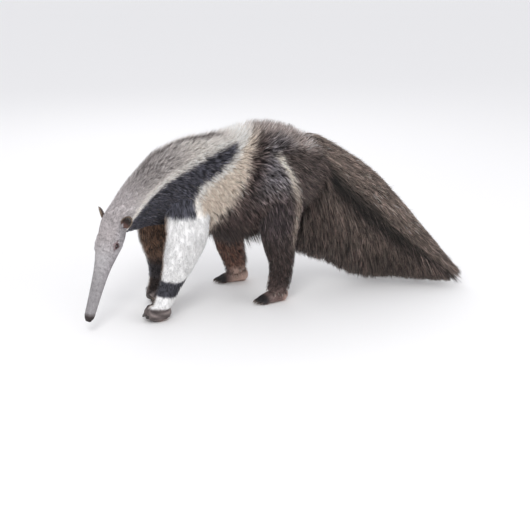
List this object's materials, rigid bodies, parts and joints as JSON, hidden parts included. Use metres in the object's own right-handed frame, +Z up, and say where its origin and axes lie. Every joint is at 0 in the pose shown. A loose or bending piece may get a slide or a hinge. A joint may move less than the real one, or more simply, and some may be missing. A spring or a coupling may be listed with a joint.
{
  "type": "giant anteater",
  "caption": "Life-size giant anteater standing with its long head lowered and its bushy tail hanging clear of the floor.",
  "frame": {"origin": "centre of the bounding box at floor level, under the soles", "axes": "+X runs from head to tail, +Y toward the animal's right side, +Z up"},
  "size_m": [1.2976, 0.429, 0.5778],
  "materials": {
    "grey_fur": "short grey hair, speckled",
    "white_fur": "short cream-white hair",
    "dark_fur": "long bristly dark brown hair with banded tips",
    "tail_hair": "very long coarse dark brown hair",
    "ear": "thin skin with short hair",
    "foot_skin": "bare wrinkled skin",
    "claw": "horn, worn",
    "eye": "wet and dark"
  },
  "bodies": {
    "root": {"claw_fore_left_1": "claw", "claw_fore_left_2": "claw", "claw_fore_left_3": "claw", "claw_fore_right_1": "claw", "claw_fore_right_2": "claw", "claw_fore_right_3": "claw", "claw_hind_left_1": "claw", "claw_hind_left_2": "claw", "claw_hind_left_3": "claw", "claw_hind_left_4": "claw", "claw_hind_left_5": "claw", "claw_hind_right_1": "claw", "claw_hind_right_2": "claw", "claw_hind_right_3": "claw", "claw_hind_right_4": "claw", "claw_hind_right_5": "claw", "ear_left": "ear", "ear_right": "ear", "eye_left": "eye", "eye_right": "eye", "foot_fore_left": "foot_skin", "foot_fore_right": "foot_skin", "foot_hind_left": "foot_skin", "foot_hind_right": "foot_skin", "head": "grey_fur", "leg_fore_left": "white_fur", "leg_fore_right": "white_fur", "neck": "grey_fur", "shank_hind_left": "dark_fur", "shank_hind_right": "dark_fur", "tail": "tail_hair", "thigh_hind_left": "dark_fur", "thigh_hind_right": "dark_fur", "torso": "dark_fur"}
  },
  "joints": []
}
